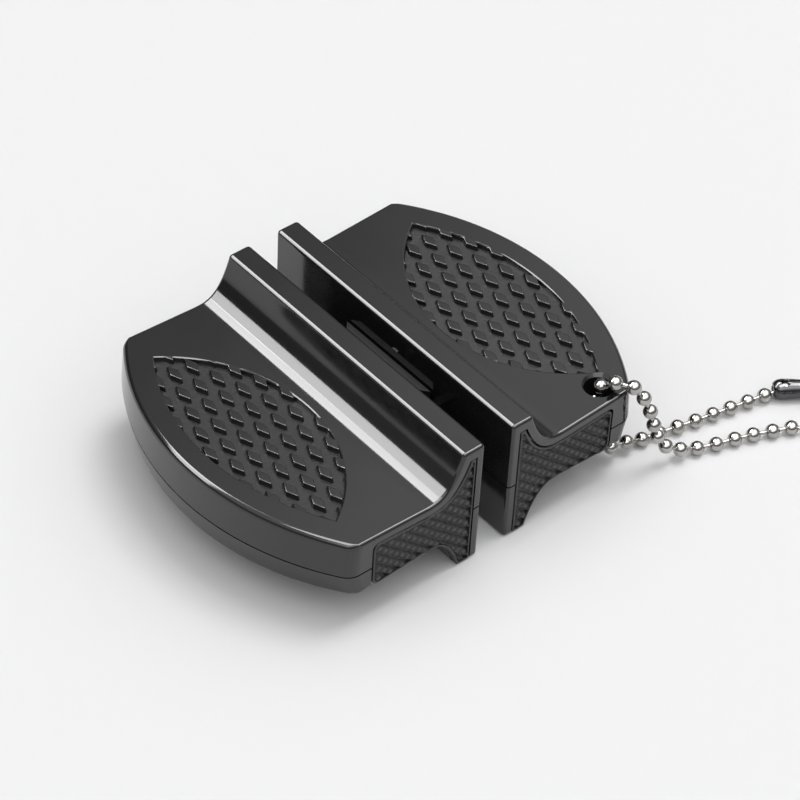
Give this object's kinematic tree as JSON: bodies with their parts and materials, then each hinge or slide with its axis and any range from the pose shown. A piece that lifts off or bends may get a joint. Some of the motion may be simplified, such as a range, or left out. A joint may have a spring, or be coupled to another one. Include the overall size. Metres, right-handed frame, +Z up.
{
  "type": "pocket_knife_sharpener",
  "caption": "Black pocket knife sharpener with a knife slot between two winged grips, rubber end pads and a ball chain",
  "frame": {"origin": "middle of the bottom of the overall box, on the table", "axes": "+X points across the wings towards the chain, +Y runs along the knife slot away from the front end, +Z is up"},
  "size_m": [0.0989, 0.0679, 0.0216],
  "materials": {
    "shell_plastic": "satin black moulded plastic",
    "pad_rubber": "matte black rubber with fine raised lozenges",
    "insert_plastic": "matte black plastic",
    "carbide": "ground tungsten carbide",
    "ceramic_white": "fine white ceramic",
    "screw_steel": "zinc-plated steel",
    "chain_nickel": "bright nickel-plated ball chain",
    "connector_nickel": "dark nickel-plated sheet"
  },
  "bodies": {
    "body": {"upper_shell": "shell_plastic", "lower_shell": "shell_plastic", "grip_pad_front_left": "pad_rubber", "grip_pad_front_right": "pad_rubber", "grip_pad_back_left": "pad_rubber", "grip_pad_back_right": "pad_rubber", "coarse_insert": "insert_plastic", "fine_insert": "insert_plastic", "carbide_plate_left": "carbide", "carbide_plate_right": "carbide", "ceramic_rod_left": "ceramic_white", "ceramic_rod_right": "ceramic_white", "case_screw_front_left": "screw_steel", "case_screw_front_right": "screw_steel", "case_screw_back_left": "screw_steel", "case_screw_back_right": "screw_steel", "chain_upper_leg": "chain_nickel", "chain_lower_leg": "chain_nickel", "chain_end_ball_lower": "chain_nickel", "chain_end_ball_upper": "chain_nickel"},
    "connector": {"chain_connector": "connector_nickel"}
  },
  "joints": [
    {"name": "connector_swivel", "type": "hinge", "parent": "body", "child": "connector", "pos_m": [0.05654, -0.031, 0.00155], "axis": [0.809, -0.5878, 0], "continuous": true}
  ]
}
